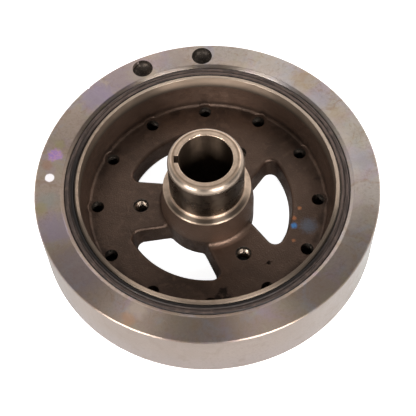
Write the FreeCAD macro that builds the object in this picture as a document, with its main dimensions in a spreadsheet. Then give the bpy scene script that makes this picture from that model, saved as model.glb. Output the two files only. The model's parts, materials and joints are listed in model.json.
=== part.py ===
# Harmonic balancer for a V8 crankshaft, resting on its front face with the snout up.
# Origin at the centre of the front face, +Z along the bore axis towards the snout, millimetres.

import FreeCAD
import Part
import math
import os
import Sketcher

# Driving dimensions. Radii and heights are measured from the bore axis and the front face.

DIMENSIONS = [
    ("ring_outer_radius", 101.6, "outside of the inertia ring"),
    ("ring_section_width", 17.3, "radial width of the inertia ring"),
    ("ring_height", 39.7, "width of the inertia ring along the axis"),
    ("ring_edge_chamfer", 0.6, "chamfer on the outer edges of the ring"),
    ("ring_lip_width", 2.0, "radial width of the chamfer beside the rubber"),
    ("ring_lip_depth", 1.0, "depth of the chamfer beside the rubber"),
    ("balance_hole_radius", 6.35, "drilled balance holes"),
    ("balance_hole_inset", 8.6, "centres of the balance holes inside the ring's outside"),
    ("balance_hole_depth", 3.0, "full-diameter depth of the balance holes"),
    ("balance_hole_angle", 90.5, "direction of the first balance hole, in degrees"),
    ("balance_hole_spacing", 23.7, "angle between the balance holes, in degrees"),
    ("timing_groove_width", 1.6, "timing mark across the outside of the ring"),
    ("timing_groove_depth", 1.0, "depth of the timing mark"),
    ("timing_groove_angle", 135.0, "direction of the timing mark, in degrees"),
    ("rubber_thickness", 5.9, "radial thickness of the rubber strip"),
    ("rubber_front_recess", 1.6, "rubber below the front face of the ring"),
    ("rubber_rear_recess", 1.5, "rubber edges below the rear face of the ring"),
    ("bead_valley_recess", 1.1, "valley between the two rubber beads"),
    ("inner_bead_width", 2.8, "bead beside the hub rim"),
    ("inner_bead_rise", 1.2, "height of the bead beside the hub rim above its chord"),
    ("outer_bead_rise", 0.8, "height of the bead beside the ring above its chord"),
    ("rim_wall", 2.6, "wall of the hub rim where it is bored"),
    ("rim_lip_chamfer", 1.0, "chamfers on the outer edges of the hub rim"),
    ("rim_bore_depth", 9.0, "depth of the bored part of the rim"),
    ("well_draft_angle", 13.0, "draft of the cast wall below the bored part, in degrees"),
    ("well_foot_radius", 2.4, "fillet between web and wall"),
    ("front_setback", 1.5, "front face of the hub above the front face of the ring"),
    ("web_thickness", 13.75, "thickness of the web and of the spokes"),
    ("web_band_width", 24.4, "from the bored rim to the outer arc of the windows"),
    ("window_inner_station", 11.5, "inner end of the window outline, inside the barrel"),
    ("window_outer_corner", 5.0, "outer corner radius of the windows"),
    ("window_inner_corner", 1.5, "inner corner radius of the windows, inside the barrel"),
    ("window_edge_round", 2.0, "rounding of the window edges on the rear face"),
    ("window_front_round", 1.5, "rounding of the window edges on the front face"),
    ("window_draft_angle", 7.5, "draft of the window walls, narrower towards the front, in degrees"),
    ("spoke_root_half_width", 15.6, "half width of a spoke at the barrel"),
    ("spoke_tip_half_width", 18.0, "half width of a spoke at the outer arc"),
    ("window_count", 3, "windows, and spokes between them"),
    ("core_clearance", 4.9, "wall left outside the cored centre of the web"),
    ("barrel_draft", 1.6, "radial growth of the barrel towards the web"),
    ("barrel_straight_length", 6.0, "straight part of the barrel above the web"),
    ("barrel_foot_radius", 3.2, "fillet between barrel and spokes"),
    ("shoulder_height", 36.9, "foot of the seal journal"),
    ("shoulder_drop", 1.3, "fall of the shoulder towards its edge"),
    ("shoulder_width", 3.775, "shoulder outside the seal journal"),
    ("shoulder_edge_length", 0.7, "length of the bevel under the shoulder edge"),
    ("shoulder_edge_bevel", 0.3, "radial width of the bevel under the shoulder edge"),
    ("shoulder_edge_round", 0.6, "rounding of the shoulder edge"),
    ("journal_foot_radius", 0.7, "fillet at the foot of the journal"),
    ("journal_radius", 22.225, "seal journal"),
    ("snout_length", 29.5, "length of the snout above the shoulder"),
    ("snout_chamfer_length", 2.3, "lead-in chamfer of the snout along the axis"),
    ("snout_chamfer_width", 2.725, "lead-in chamfer of the snout across the axis"),
    ("snout_lead_radius", 4.3, "rounding between the lead-in chamfer and the seal journal"),
    ("bore_radius", 15.8, "crankshaft bore"),
    ("bore_chamfer", 0.5, "chamfer at the rear end of the bore"),
    ("washer_seat_width", 3.2, "counterbore for the bolt washer, wider than the bore all round"),
    ("washer_seat_depth", 6.0, "depth of the counterbore"),
    ("keyway_width", 4.8, "keyway in the bore"),
    ("keyway_depth", 2.4, "depth of the keyway below the bore"),
    ("weight_hole_radius", 3.9, "tapped holes around the web"),
    ("weight_hole_inset", 8.8, "centres of the tapped holes inside the bored rim"),
    ("weight_hole_depth", 9.5, "full-diameter depth of the holes around the web"),
    ("weight_hole_count", 12, "holes around the web"),
    ("relief_margin", 2.5, "cutter relief around each hole, wider than the hole"),
    ("relief_foot_radius", 1.2, "corner radius of the relief"),
    ("pulley_hole_radius", 4.25, "tapped pulley holes through the spokes"),
    ("pulley_hole_circle_radius", 40.5, "circle of the pulley holes"),
    ("pulley_hole_count", 3, "pulley holes"),
    ("pulley_hole_chamfer", 0.5, "chamfer at both ends of the pulley holes"),
    ("drill_tip_length_ratio", 0.6, "length of a drill tip for a unit of radius"),
    ("crease_inset", 1.1, "turned line across the spokes, inside the windows' outer arc"),
    ("crease_depth", 0.4, "depth of the turned line"),
    ("crease_half_width", 0.8, "half width of the turned line"),
    ("scar_length", 7.0, "casting scar in the web"),
    ("scar_width", 1.4, "width of the casting scar"),
    ("scar_depth", 0.9, "depth of the casting scar"),
    ("scar_offset", 3.0, "middle of the scar outside the windows' outer arc"),
    ("scar_angle", 309.8, "direction of the scar from the axis, in degrees"),
    ("scar_turn", 22.0, "slope of the scar, in degrees"),
]

document = FreeCAD.newDocument("harmonic_balancer")
sheet = document.addObject("Spreadsheet::Sheet", "Sizes")


class Size:
    """A number together with the spreadsheet expression that gives it."""

    def __init__(self, value, text):
        self.value = value
        self.text = text

    def __add__(self, other):
        other = as_size(other)
        return Size(self.value + other.value, f"({self.text} + {other.text})")

    def __sub__(self, other):
        other = as_size(other)
        return Size(self.value - other.value, f"({self.text} - {other.text})")

    def __mul__(self, other):
        other = as_size(other)
        return Size(self.value * other.value, f"({self.text} * {other.text})")

    def __truediv__(self, other):
        other = as_size(other)
        return Size(self.value / other.value, f"({self.text} / {other.text})")

    def root(self):
        return Size(math.sqrt(self.value), f"sqrt({self.text})")

    def sine(self):
        return Size(math.sin(math.radians(self.value)), f"sin({self.text})")

    def cosine(self):
        return Size(math.cos(math.radians(self.value)), f"cos({self.text})")


def as_size(number):
    if isinstance(number, Size):
        return number
    return Size(float(number), repr(float(number)))


def fill_sheet():
    """One row for each driving dimension: name, value with its alias, meaning."""
    sizes = {}
    for row, (name, value, meaning) in enumerate(DIMENSIONS, start=1):
        sheet.set(f"A{row}", name)
        sheet.set(f"B{row}", str(value))
        sheet.set(f"C{row}", meaning)
        sheet.setAlias(f"B{row}", name)
        sizes[name] = Size(float(value), f"Sizes.{name}")
    return sizes


size = fill_sheet()
document.recompute()

# Heights and radii that several pieces or features share. The radii follow from the outside
# inwards as far as the windows, and from the journal outwards as far as the barrel.

ring_top = size["ring_height"]
web_top = size["front_setback"] + size["web_thickness"]
snout_top = size["shoulder_height"] + size["snout_length"]
ring_outer = size["ring_outer_radius"]
ring_inner = ring_outer - size["ring_section_width"]
rim_outer = ring_inner - size["rubber_thickness"]
rim_inner = rim_outer - size["rim_wall"]
window_outer = rim_inner - size["web_band_width"]
journal = size["journal_radius"]
shoulder_radius = journal + size["shoulder_width"]
barrel_top = shoulder_radius + size["shoulder_edge_bevel"]
barrel = barrel_top + size["barrel_draft"]
cut_margin = 1.0


def new_body(label):
    body = document.addObject("PartDesign::Body", label + "_body")
    body.Label = label
    return body


def origin_plane(body, role):
    return next(item for item in body.Origin.OriginFeatures if item.Role == role)


def new_sketch(body, name, role):
    sketch = body.newObject("Sketcher::SketchObject", name)
    sketch.AttachmentSupport = [(origin_plane(body, role), "")]
    sketch.MapMode = "FlatFace"
    return sketch


def offset_sketch(sketch, along, across, height, turn, axis=FreeCAD.Vector(0, 0, 1)):
    """Move a sketch on its plane and turn it about an axis of that plane, bound to the sheet."""
    place = FreeCAD.Vector(along.value, across.value, height.value)
    sketch.AttachmentOffset = FreeCAD.Placement(place, FreeCAD.Rotation(axis, turn.value))
    sketch.setExpression("AttachmentOffset.Base.x", along.text)
    sketch.setExpression("AttachmentOffset.Base.y", across.text)
    sketch.setExpression("AttachmentOffset.Base.z", height.text)
    sketch.setExpression("AttachmentOffset.Rotation.Angle", turn.text)


def arc_radius(start, end, rise):
    """Radius of an arc that stands the given height above the chord between two corners."""
    run = end[0] - start[0]
    climb = end[1] - start[1]
    return (rise * rise + (run * run + climb * climb) / 4) / (rise * 2)


def bind(sketch, kind, size_value, *references):
    """Add a dimension to a sketch and tie it to its expression."""
    index = sketch.addConstraint(Sketcher.Constraint(kind, *references, size_value.value))
    sketch.setExpression(f"Constraints[{index}]", size_value.text)


def pin_point(sketch, element, end, along, across):
    """Place one end of a sketch element by its distances from the sketch origin."""
    for kind, distance, axis in (("DistanceX", along, -2), ("DistanceY", across, -1)):
        if abs(distance.value) < 1e-9:
            sketch.addConstraint(Sketcher.Constraint("PointOnObject", element, end, axis))
        else:
            bind(sketch, kind, distance, -1, 1, element, end)


def outline(sketch, corners, arcs=None):
    """Closed outline through the corners; arcs maps a side's number to its radius and turn."""
    arcs = arcs or {}
    points = [FreeCAD.Vector(along.value, across.value, 0) for along, across in corners]
    count = len(points)
    for side in range(count):
        start, end = points[side], points[(side + 1) % count]
        if side in arcs:
            radius, turn = arcs[side]
            sketch.addGeometry(arc_between(start, end, radius.value, turn), False)
        else:
            sketch.addGeometry(Part.LineSegment(start, end), False)
    first_end = {side: (1, 2) if side not in arcs or arcs[side][1] > 0 else (2, 1) for side in range(count)}
    for side in range(count):
        following = (side + 1) % count
        sketch.addConstraint(
            Sketcher.Constraint("Coincident", side, first_end[side][1], following, first_end[following][0])
        )
    for side, (along, across) in enumerate(corners):
        pin_point(sketch, side, first_end[side][0], along, across)
    for side, (radius, turn) in arcs.items():
        bind(sketch, "Radius", radius, side)


def arc_between(start, end, radius, turn):
    """Arc from start to end, turn +1 for anticlockwise and -1 for clockwise."""
    chord = end - start
    middle = (start + end) * 0.5
    reach = math.sqrt(max(radius ** 2 - (chord.Length / 2) ** 2, 0.0))
    normal = FreeCAD.Vector(-chord.y, chord.x, 0).normalize()
    centre = middle + normal * (reach * turn)
    first, last = (start, end) if turn > 0 else (end, start)
    angles = [math.atan2(point.y - centre.y, point.x - centre.x) for point in (first, last)]
    if angles[1] < angles[0]:
        angles[1] += 2 * math.pi
    circle = Part.Circle(centre, FreeCAD.Vector(0, 0, 1), radius)
    return Part.ArcOfCircle(circle, angles[0], angles[1])


def add_circle(sketch, radius, centre_along=None):
    """Circle on the sketch origin, or on its X axis at the given distance."""
    along = centre_along.value if centre_along else 0.0
    sketch.addGeometry(Part.Circle(FreeCAD.Vector(along, 0, 0), FreeCAD.Vector(0, 0, 1), radius.value), False)
    if centre_along:
        pin_point(sketch, 0, 3, centre_along, as_size(0))
    else:
        sketch.addConstraint(Sketcher.Constraint("Coincident", 0, 3, -1, 1))
    bind(sketch, "Radius", radius, 0)


def add_hole_axis(sketch, along):
    """Construction line on which a hole section is turned."""
    bottom = FreeCAD.Vector(along.value, 0, 0)
    top = FreeCAD.Vector(along.value, ring_top.value, 0)
    line = sketch.addGeometry(Part.LineSegment(bottom, top), True)
    pin_point(sketch, line, 1, along, as_size(0))
    pin_point(sketch, line, 2, along, ring_top)


def turned(body, name, sketch, axis="V_Axis", remove=False):
    """Revolve a sketch about one of its axes, as new material or as a cut."""
    feature = body.newObject("PartDesign::Groove" if remove else "PartDesign::Revolution", name)
    feature.Profile = sketch
    feature.ReferenceAxis = (sketch, [axis])
    feature.Angle = 360.0
    sketch.Visibility = False
    return feature


def cut_through(body, name, sketch):
    feature = body.newObject("PartDesign::Pocket", name)
    feature.Profile = sketch
    feature.Type = "ThroughAll"
    feature.Midplane = True
    sketch.Visibility = False
    return feature


def cut_below(body, name, sketch, depth, draft=None):
    """Cut below a sketch, by its draft narrower towards the bottom."""
    feature = body.newObject("PartDesign::Pocket", name)
    feature.Profile = sketch
    feature.Length = depth.value
    feature.setExpression("Length", depth.text)
    if draft is not None:
        feature.TaperAngle = -draft.value
        feature.setExpression("TaperAngle", f"-{draft.text}")
    sketch.Visibility = False
    return feature


def around_axis(body, name, feature, count, angle=None):
    """Repeat a feature round the bore axis."""
    pattern = body.newObject("PartDesign::PolarPattern", name)
    pattern.Originals = [feature]
    pattern.Axis = (origin_plane(body, "Z_Axis"), [""])
    if angle is None:
        pattern.Angle = 360.0
    else:
        pattern.Angle = angle.value
        pattern.setExpression("Angle", angle.text)
    pattern.Occurrences = int(count.value)
    pattern.setExpression("Occurrences", count.text)
    body.Tip = pattern
    return pattern


def round_edges(body, name, radius, chosen):
    """Fillet the edges of the current shape that the test chooses."""
    return dress_edges(body, name, "PartDesign::Fillet", "Radius", radius, chosen)


def chamfer_edges(body, name, width, chosen):
    """Chamfer the edges of the current shape that the test chooses."""
    return dress_edges(body, name, "PartDesign::Chamfer", "Size", width, chosen)


def dress_edges(body, name, kind, property_name, width, chosen):
    document.recompute()
    base = body.Tip
    names = [f"Edge{number}" for number, edge in enumerate(base.Shape.Edges, start=1) if chosen(edge)]
    if not names:
        raise RuntimeError(f"no edge found for {name}")
    feature = body.newObject(kind, name)
    feature.Base = (base, names)
    setattr(feature, property_name, width.value)
    feature.setExpression(property_name, width.text)
    document.recompute()
    return feature


def edge_points(edge):
    first, last = edge.FirstParameter, edge.LastParameter
    return [edge.valueAt(first + (last - first) * step / 4) for step in range(5)]


def all_at_height(edge, height):
    return all(abs(point.z - height.value) < 1e-3 for point in edge_points(edge))


def all_at_radius(edge, radius):
    return all(abs(math.hypot(point.x, point.y) - radius.value) < 1e-3 for point in edge_points(edge))


def is_level(edge):
    points = edge_points(edge)
    return abs(points[0].z - points[4].z) < 1e-3


def edge_radii(edge):
    return [math.hypot(point.x, point.y) for point in edge_points(edge)]


# The hub is one casting: rim, web with three windows, barrel and turned snout.


def rim_and_web(body):
    """Rim, well wall and web turned as one section round the bore axis."""
    front = size["front_setback"]
    chamfer = size["rim_lip_chamfer"]
    bored_end = ring_top - size["rim_bore_depth"]
    draft = size["well_draft_angle"]
    foot = size["well_foot_radius"]
    foot_top = web_top + foot - foot * draft.sine()
    wall_foot = rim_inner - (bored_end - foot_top) * draft.sine() / draft.cosine()
    floor = wall_foot - foot * draft.cosine()
    zero = as_size(0)
    corners = [
        (zero, front),
        (rim_outer - chamfer, front),
        (rim_outer, front + chamfer),
        (rim_outer, ring_top - chamfer),
        (rim_outer - chamfer, ring_top),
        (rim_inner, ring_top),
        (rim_inner, bored_end),
        (wall_foot, foot_top),
        (floor, web_top),
        (zero, web_top),
    ]
    sketch = new_sketch(body, "RimSection", "XZ_Plane")
    foot_side = 7
    outline(sketch, corners, {foot_side: (foot, -1)})
    turned(body, "RimAndWeb", sketch)


def windows(body):
    """Three windows between the spokes; the first lies on +X."""
    root = size["spoke_root_half_width"]
    tip = size["spoke_tip_half_width"]
    outer_station = (window_outer * window_outer - tip * tip).root()
    widening = (tip - root) / (outer_station - barrel)
    inner_station = size["window_inner_station"]
    inner_half_width = root - widening * (barrel - inner_station)
    half_pitch = as_size(180) / size["window_count"]
    cosine = half_pitch.cosine()
    sine = half_pitch.sine()

    def on_spoke_side(station, half_width):
        along = station * cosine + half_width * sine
        across = station * sine - half_width * cosine
        return along, across

    def mirrored(point):
        return point[0], as_size(0) - point[1]

    inner_corner = on_spoke_side(inner_station, inner_half_width)
    outer_corner = on_spoke_side(outer_station, tip)
    inner_radius = (inner_station * inner_station + inner_half_width * inner_half_width).root()
    sketch = new_sketch(body, "WindowOutline", "XY_Plane")
    zero = as_size(0)
    offset_sketch(sketch, zero, zero, web_top, zero)
    outer_side, inner_side = 1, 3
    outline(
        sketch,
        [mirrored(inner_corner), mirrored(outer_corner), outer_corner, inner_corner],
        {outer_side: (window_outer, 1), inner_side: (inner_radius, -1)},
    )
    depth = size["web_thickness"] + cut_margin
    window = cut_below(body, "Window", sketch, depth, size["window_draft_angle"])
    around_axis(body, "Windows", window, size["window_count"])

    def beside_window(edge):
        return max(edge_radii(edge)) < window_outer.value + 0.01

    def outer_corner_edge(edge):
        return beside_window(edge) and not is_level(edge) and edge_radii(edge)[2] > barrel.value

    def inner_corner_edge(edge):
        return beside_window(edge) and not is_level(edge) and edge_radii(edge)[2] < barrel.value

    def rear_edge(edge):
        return beside_window(edge) and all_at_height(edge, web_top)

    round_edges(body, "WindowOuterCorners", size["window_outer_corner"], outer_corner_edge)
    round_edges(body, "WindowInnerCorners", size["window_inner_corner"], inner_corner_edge)
    round_edges(body, "WindowRearEdges", size["window_edge_round"], rear_edge)


def barrel_and_snout(body):
    """Barrel, sloped shoulder, seal journal and bored end, with the washer seat at the front."""
    core = new_sketch(body, "CoreCircle", "XY_Plane")
    add_circle(core, barrel - size["core_clearance"])
    cut_through(body, "Core", core)

    front = size["front_setback"]
    shoulder = size["shoulder_height"]
    shoulder_edge = shoulder - size["shoulder_drop"]
    bore = size["bore_radius"]
    seat = bore + size["washer_seat_width"]
    seat_floor = front + size["washer_seat_depth"]
    corners = [
        (seat, front),
        (barrel, front),
        (barrel, web_top + size["barrel_straight_length"]),
        (barrel_top, shoulder_edge - size["shoulder_edge_length"]),
        (shoulder_radius, shoulder_edge),
        (journal, shoulder),
        (journal, snout_top - size["snout_chamfer_length"]),
        (journal - size["snout_chamfer_width"], snout_top),
        (bore + size["bore_chamfer"], snout_top),
        (bore, snout_top - size["bore_chamfer"]),
        (bore, seat_floor),
        (seat, seat_floor),
    ]
    sketch = new_sketch(body, "SnoutSection", "XZ_Plane")
    outline(sketch, corners)
    turned(body, "BarrelAndSnout", sketch)

    def spoke_root_edge(edge):
        highest = max(point.z for point in edge_points(edge))
        above_web = highest > web_top.value + 0.01
        return all_at_radius(edge, barrel) and not above_web and not all_at_height(edge, front)

    def shoulder_edge_circle(edge):
        return all_at_height(edge, shoulder_edge)

    def journal_foot_circle(edge):
        return all_at_height(edge, shoulder)

    def lead_in_circle(edge):
        return all_at_height(edge, snout_top - size["snout_chamfer_length"])

    def window_front_edge(edge):
        radii = edge_radii(edge)
        beside_windows = min(radii) > barrel.value - 0.01 and max(radii) < window_outer.value + 0.01
        return beside_windows and all_at_height(edge, front)

    round_edges(body, "SpokeRoots", size["barrel_foot_radius"], spoke_root_edge)
    round_edges(body, "WindowFrontEdges", size["window_front_round"], window_front_edge)
    round_edges(body, "ShoulderEdge", size["shoulder_edge_round"], shoulder_edge_circle)
    round_edges(body, "JournalFoot", size["journal_foot_radius"], journal_foot_circle)
    round_edges(body, "LeadIn", size["snout_lead_radius"], lead_in_circle)


def keyway(body):
    """Keyway along the whole bore, on the -X side above a spoke."""
    zero = as_size(0)
    half = size["keyway_width"] / 2
    inside = zero - size["bore_radius"] * 0.8
    floor = zero - size["bore_radius"] - size["keyway_depth"]
    sketch = new_sketch(body, "KeywayOutline", "XY_Plane")
    outline(sketch, [(floor, zero - half), (inside, zero - half), (inside, half), (floor, half)])
    cut_through(body, "Keyway", sketch)


def weight_holes(body):
    """Blind holes round the web, each in a cutter relief that bites into the well wall."""
    axis = rim_inner - size["weight_hole_inset"]
    hole = axis + size["weight_hole_radius"]
    floor = web_top - size["weight_hole_depth"]
    tip = floor - size["weight_hole_radius"] * size["drill_tip_length_ratio"]
    relief = hole + size["relief_margin"]
    foot = size["relief_foot_radius"]
    corners = [
        (axis, tip),
        (hole, floor),
        (hole, web_top),
        (relief - foot, web_top),
        (relief, web_top + foot),
        (relief, ring_top),
        (axis, ring_top),
    ]
    sketch = new_sketch(body, "WeightHoleSection", "XZ_Plane")
    foot_side = 3
    outline(sketch, corners, {foot_side: (foot, 1)})
    add_hole_axis(sketch, axis)
    cut = turned(body, "WeightHole", sketch, axis="Axis0", remove=True)
    around_axis(body, "WeightHoles", cut, size["weight_hole_count"])


def pulley_holes(body):
    """Tapped holes through the spokes, one on each; the first lies on -X."""
    sketch = new_sketch(body, "PulleyHoleOutline", "XY_Plane")
    add_circle(sketch, size["pulley_hole_radius"], as_size(0) - size["pulley_hole_circle_radius"])
    hole = cut_through(body, "PulleyHole", sketch)
    around_axis(body, "PulleyHoles", hole, size["pulley_hole_count"])

    def hole_rim(edge):
        if not hasattr(edge.Curve, "Radius"):
            return False
        same_radius = abs(edge.Curve.Radius - size["pulley_hole_radius"].value) < 1e-4
        level = all_at_height(edge, web_top) or all_at_height(edge, size["front_setback"])
        return same_radius and level

    chamfer_edges(body, "PulleyHoleChamfers", size["pulley_hole_chamfer"], hole_rim)


def crease(body):
    """Shallow turned line that carries the outer window arc across the spokes."""
    radius = window_outer - size["crease_inset"]
    half = size["crease_half_width"]
    sketch = new_sketch(body, "CreaseSection", "XZ_Plane")
    corners = [(radius - half, web_top), (radius, web_top - size["crease_depth"]), (radius + half, web_top)]
    outline(sketch, corners)
    turned(body, "Crease", sketch, remove=True)


def casting_scar(body):
    """Short slanted scar in the web beside one spoke."""
    half_length = size["scar_length"] / 2
    half_width = size["scar_width"] / 2
    zero = as_size(0)
    sketch = new_sketch(body, "ScarOutline", "XY_Plane")
    distance = window_outer + size["scar_offset"]
    along = distance * size["scar_angle"].cosine()
    across = distance * size["scar_angle"].sine()
    offset_sketch(sketch, along, across, web_top, size["scar_turn"])
    ends = [(zero - half_length, zero), (zero, zero - half_width), (half_length, zero), (zero, half_width)]
    outline(sketch, ends)
    cut_below(body, "Scar", sketch, size["scar_depth"])


def build_hub():
    body = new_body("hub")
    rim_and_web(body)
    windows(body)
    barrel_and_snout(body)
    keyway(body)
    pulley_holes(body)
    crease(body)
    weight_holes(body)
    casting_scar(body)
    return body


# The rubber strip is pressed between the hub rim and the ring and bulges in two beads at the rear.


def build_rubber_ring():
    body = new_body("rubber_ring")
    front = size["rubber_front_recess"]
    edge = ring_top - size["rubber_rear_recess"]
    ring_side = (ring_inner, edge)
    valley = (rim_outer + size["inner_bead_width"], ring_top - size["bead_valley_recess"])
    hub_side = (rim_outer, edge)
    outer_bead = arc_radius(ring_side, valley, size["outer_bead_rise"])
    inner_bead = arc_radius(valley, hub_side, size["inner_bead_rise"])
    sketch = new_sketch(body, "StripSection", "XZ_Plane")
    outer_side, inner_side = 2, 3
    beads = {outer_side: (outer_bead, 1), inner_side: (inner_bead, 1)}
    outline(sketch, [(rim_outer, front), (ring_inner, front), ring_side, valley, hub_side], beads)
    turned(body, "Strip", sketch)
    return body


# The inertia ring carries two drilled balance holes and a timing mark.


def balance_holes(body):
    axis = ring_outer - size["balance_hole_inset"]
    hole = axis + size["balance_hole_radius"]
    floor = ring_top - size["balance_hole_depth"]
    tip = floor - size["balance_hole_radius"] * size["drill_tip_length_ratio"]
    above = ring_top + cut_margin
    sketch = new_sketch(body, "BalanceHoleSection", "XZ_Plane")
    corners = [(axis, tip), (hole, floor), (hole, above), (axis, above)]
    outline(sketch, corners)
    add_hole_axis(sketch, axis)
    zero = as_size(0)
    offset_sketch(sketch, zero, zero, zero, size["balance_hole_angle"], FreeCAD.Vector(0, 1, 0))
    cut = turned(body, "BalanceHole", sketch, axis="Axis0", remove=True)
    around_axis(body, "BalanceHoles", cut, as_size(2), size["balance_hole_spacing"])


def timing_groove(body):
    """Straight mark across the outside of the ring, on the side that the photograph hides."""
    half = size["timing_groove_width"] / 2
    inner = ring_outer - size["timing_groove_depth"]
    outer = ring_outer + cut_margin
    zero = as_size(0)
    sketch = new_sketch(body, "TimingOutline", "XY_Plane")
    offset_sketch(sketch, zero, zero, zero, size["timing_groove_angle"])
    outline(sketch, [(inner, zero - half), (outer, zero - half), (outer, half), (inner, half)])
    cut_through(body, "TimingGroove", sketch)


def build_inertia_ring():
    body = new_body("inertia_ring")
    edge = size["ring_edge_chamfer"]
    lip = ring_inner + size["ring_lip_width"]
    lip_depth = size["ring_lip_depth"]
    zero = as_size(0)
    corners = [
        (lip, zero),
        (ring_outer - edge, zero),
        (ring_outer, edge),
        (ring_outer, ring_top - edge),
        (ring_outer - edge, ring_top),
        (lip, ring_top),
        (ring_inner, ring_top - lip_depth),
        (ring_inner, lip_depth),
    ]
    sketch = new_sketch(body, "RingSection", "XZ_Plane")
    outline(sketch, corners)
    turned(body, "Ring", sketch)
    balance_holes(body)
    timing_groove(body)
    return body


def check_document():
    """Stop if any object failed or any piece is not one valid solid."""
    for item in document.Objects:
        if "Invalid" in item.State or "Error" in item.State:
            raise RuntimeError(f"{item.Name}: {item.State}")
    for body in (item for item in document.Objects if item.TypeId == "PartDesign::Body"):
        shape = body.Shape
        if shape.isNull() or not shape.isValid() or len(shape.Solids) != 1:
            raise RuntimeError(f"{body.Label} is not one valid solid")


def export_bodies(bodies):
    os.makedirs("parts", exist_ok=True)
    for body in bodies:
        body.Shape.exportStep(f"parts/{body.Label}.step")
        print(body.Label, round(body.Shape.Volume), "cubic millimetres")


bodies = [build_hub(), build_rubber_ring(), build_inertia_ring()]
document.recompute()
check_document()
export_bodies(bodies)
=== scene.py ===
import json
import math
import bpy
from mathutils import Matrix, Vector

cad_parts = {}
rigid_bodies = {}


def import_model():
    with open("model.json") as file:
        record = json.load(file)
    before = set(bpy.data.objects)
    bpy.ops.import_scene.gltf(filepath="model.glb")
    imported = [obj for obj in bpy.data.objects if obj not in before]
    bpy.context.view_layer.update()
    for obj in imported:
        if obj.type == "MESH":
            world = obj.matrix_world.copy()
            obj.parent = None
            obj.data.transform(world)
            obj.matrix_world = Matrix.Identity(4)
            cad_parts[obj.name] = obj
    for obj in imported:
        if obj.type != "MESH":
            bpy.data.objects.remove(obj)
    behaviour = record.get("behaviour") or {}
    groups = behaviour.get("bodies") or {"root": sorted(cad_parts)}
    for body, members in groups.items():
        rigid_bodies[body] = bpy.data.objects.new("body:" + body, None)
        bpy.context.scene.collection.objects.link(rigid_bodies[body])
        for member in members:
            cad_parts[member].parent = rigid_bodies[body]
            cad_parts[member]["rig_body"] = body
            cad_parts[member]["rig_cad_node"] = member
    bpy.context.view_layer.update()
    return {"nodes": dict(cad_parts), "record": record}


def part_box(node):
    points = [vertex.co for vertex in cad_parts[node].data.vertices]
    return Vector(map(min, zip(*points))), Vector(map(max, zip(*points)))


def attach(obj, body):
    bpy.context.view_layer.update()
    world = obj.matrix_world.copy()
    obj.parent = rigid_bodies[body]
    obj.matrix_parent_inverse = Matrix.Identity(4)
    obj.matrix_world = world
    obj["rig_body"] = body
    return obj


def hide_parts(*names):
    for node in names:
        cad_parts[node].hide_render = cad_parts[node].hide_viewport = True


bl_info = {
    "name": "Harmonic balancer finish",
    "version": (1, 0, 0),
    "blender": (4, 5, 0),
    "location": "View3D > Sidebar > Balancer",
    "description": "Finishes the hub, the rubber strip and the inertia ring, and sets the studio",
    "category": "Object",
}

import bmesh
import bpy
from bpy.props import FloatProperty, FloatVectorProperty, IntProperty, PointerProperty
from mathutils import Quaternion, Vector

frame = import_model()

# Places on the object, in millimetres in the frame of the part: origin on the bore axis at the
# front face, +Z towards the snout.

PER_METRE = 1000
RING_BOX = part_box("inertia_ring")
HUB_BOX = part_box("hub")
RING_TOP = RING_BOX[1].z * PER_METRE
RING_RADIUS = RING_BOX[1].x * PER_METRE
RIM_RADIUS = HUB_BOX[1].x * PER_METRE
SNOUT_TOP = HUB_BOX[1].z * PER_METRE
HUB_FRONT = HUB_BOX[0].z * PER_METRE


def mount(name):
    return next(item for item in frame["record"]["mounts"] if item["name"] == name)


BORE_RADIUS = mount("crank_bore")["dims"]["r_mm"]
JOURNAL_RADIUS = mount("seal_journal")["dims"]["r_mm"]
PULLEY_HOLES = mount("pulley_bolts")["dims"]
WEIGHT_HOLES = mount("weight_holes")["dims"]
WEB_TOP = mount("weight_holes")["pos_m"][2] * PER_METRE

# Sizes that the frame doesn't hold, as in the part's source.
BORED_RIM_WIDTH = 2.6
BORED_RIM_DEPTH = 9.0
BORED_RADIUS = RIM_RADIUS - BORED_RIM_WIDTH
SHOULDER_TOP = 36.9
SHOULDER_EDGE = 34.7
SHOULDER_RADIUS = 26.4
LEAD_IN_RADIUS = 20.2
LEAD_IN_DEPTH = 4.5
BARREL_RADIUS = 27.9
BALANCE_HOLES = ((-0.81, 93.0), (-37.85, 84.95))
BALANCE_HOLE_RADIUS = 6.35
RING_SEAT = 84.3
RING_LIP_WIDTH = 2.0
RING_LIP_DEPTH = 1.0
RING_LIP = RING_SEAT + RING_LIP_WIDTH
# Bearing of the first hole of each circle, in degrees.
PULLEY_BEARING = 60.0
WEIGHT_BEARING = 0.0

# Shapes that are made here.
EASED_EDGE = 0.35
EASED_SEGMENTS = 3
THREAD_RISE = 0.3
THREAD_WIDTH = 0.9
THREAD_END = 1.1
WEIGHT_THREAD_DEPTH = 8.6
# Rise of a ridge as a share of its triangle's radius, so that half of the triangle is sunk.
RIDGE_SHARE = 0.75

# Shading of the merged copies.
HUB_SMOOTH_ANGLE = 25.0
RING_SMOOTH_ANGLE = 15.0
FLAT_LIMIT = 0.999998
FLAT_COUNT = 8
NORMAL_WEIGHT = 90
MERGE_DISTANCE = 1e-6
RIDGE_MERGE = 1e-7


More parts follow.
